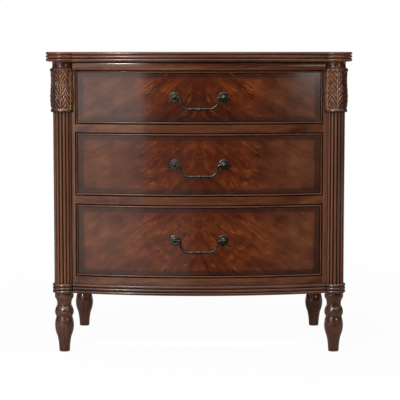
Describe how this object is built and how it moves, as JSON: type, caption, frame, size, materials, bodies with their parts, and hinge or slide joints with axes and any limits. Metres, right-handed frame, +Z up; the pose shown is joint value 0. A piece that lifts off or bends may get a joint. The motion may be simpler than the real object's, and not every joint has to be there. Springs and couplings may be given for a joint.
{
  "type": "bow-front nightstand",
  "caption": "Bow-front mahogany nightstand with graduated cock-beaded drawers, bail pulls, reeded corner columns with leaf capitals and turned legs.",
  "frame": {"origin": "on the floor, under the middle of the whole piece", "axes": "+Z up, the drawers face -Y and open towards it, +X to the right of someone facing +Y"},
  "size_m": [0.72, 0.457, 0.711],
  "materials": {
    "polished_mahogany": "dark glossy lacquer",
    "crotch_mahogany_veneer": "glossy book-matched crotch veneer with crossbanding",
    "cock_bead": "glossy lacquer",
    "secondary_wood": "planed, unfinished",
    "plywood": "sanded, unfinished",
    "antique_brass": "dark antique patina, rubbed",
    "steel": "zinc plated"
  },
  "bodies": {
    "case": {"top_panel": "polished_mahogany", "frieze_rail": "polished_mahogany", "left_side_panel": "polished_mahogany", "right_side_panel": "polished_mahogany", "left_front_post": "polished_mahogany", "right_front_post": "polished_mahogany", "upper_divider_rail": "polished_mahogany", "lower_divider_rail": "polished_mahogany", "base_rail": "polished_mahogany", "front_base_moulding": "polished_mahogany", "side_base_mouldings": "polished_mahogany", "left_column": "polished_mahogany", "right_column": "polished_mahogany", "left_capital": "polished_mahogany", "right_capital": "polished_mahogany", "left_base_ring": "polished_mahogany", "right_base_ring": "polished_mahogany", "front_left_leg": "polished_mahogany", "front_right_leg": "polished_mahogany", "rear_left_leg": "polished_mahogany", "rear_right_leg": "polished_mahogany", "drawer_runners": "secondary_wood", "dust_frame_rear_rails": "secondary_wood", "drawer_guides": "secondary_wood", "drawer_stops": "secondary_wood", "top_cleats": "secondary_wood", "rear_top_rail": "secondary_wood", "rear_base_rail": "secondary_wood", "bottom_panel": "secondary_wood", "back_panel": "plywood", "upper_dust_panel": "plywood", "lower_dust_panel": "plywood", "leg_hanger_bolts": "steel", "top_screws": "steel", "back_screws": "steel"},
    "upper_drawer": {"upper_drawer_front": "crotch_mahogany_veneer", "upper_drawer_bead": "cock_bead", "upper_drawer_sides": "secondary_wood", "upper_drawer_back": "secondary_wood", "upper_drawer_bottom": "plywood", "upper_drawer_handle_posts": "antique_brass", "upper_drawer_handle_nuts": "antique_brass"},
    "upper_bail": {"upper_drawer_bail": "antique_brass"},
    "middle_drawer": {"middle_drawer_front": "crotch_mahogany_veneer", "middle_drawer_bead": "cock_bead", "middle_drawer_sides": "secondary_wood", "middle_drawer_back": "secondary_wood", "middle_drawer_bottom": "plywood", "middle_drawer_handle_posts": "antique_brass", "middle_drawer_handle_nuts": "antique_brass"},
    "middle_bail": {"middle_drawer_bail": "antique_brass"},
    "lower_drawer": {"lower_drawer_front": "crotch_mahogany_veneer", "lower_drawer_bead": "cock_bead", "lower_drawer_sides": "secondary_wood", "lower_drawer_back": "secondary_wood", "lower_drawer_bottom": "plywood", "lower_drawer_handle_posts": "antique_brass", "lower_drawer_handle_nuts": "antique_brass"},
    "lower_bail": {"lower_drawer_bail": "antique_brass"}
  },
  "joints": [
    {"name": "upper_drawer_slide", "type": "slide", "parent": "case", "child": "upper_drawer", "axis": [0, -1, 0], "range_m": [0, 0.28]},
    {"name": "upper_bail_swing", "type": "hinge", "parent": "upper_drawer", "child": "upper_bail", "pos_m": [0, -0.2235, 0.60575], "axis": [-1, 0, 0], "range_deg": [-18, 190]},
    {"name": "middle_drawer_slide", "type": "slide", "parent": "case", "child": "middle_drawer", "axis": [0, -1, 0], "range_m": [0, 0.28]},
    {"name": "middle_bail_swing", "type": "hinge", "parent": "middle_drawer", "child": "middle_bail", "pos_m": [0, -0.2235, 0.44925], "axis": [-1, 0, 0], "range_deg": [-18, 190]},
    {"name": "lower_drawer_slide", "type": "slide", "parent": "case", "child": "lower_drawer", "axis": [0, -1, 0], "range_m": [0, 0.28]},
    {"name": "lower_bail_swing", "type": "hinge", "parent": "lower_drawer", "child": "lower_bail", "pos_m": [0, -0.2235, 0.27225], "axis": [-1, 0, 0], "range_deg": [-18, 190]}
  ]
}
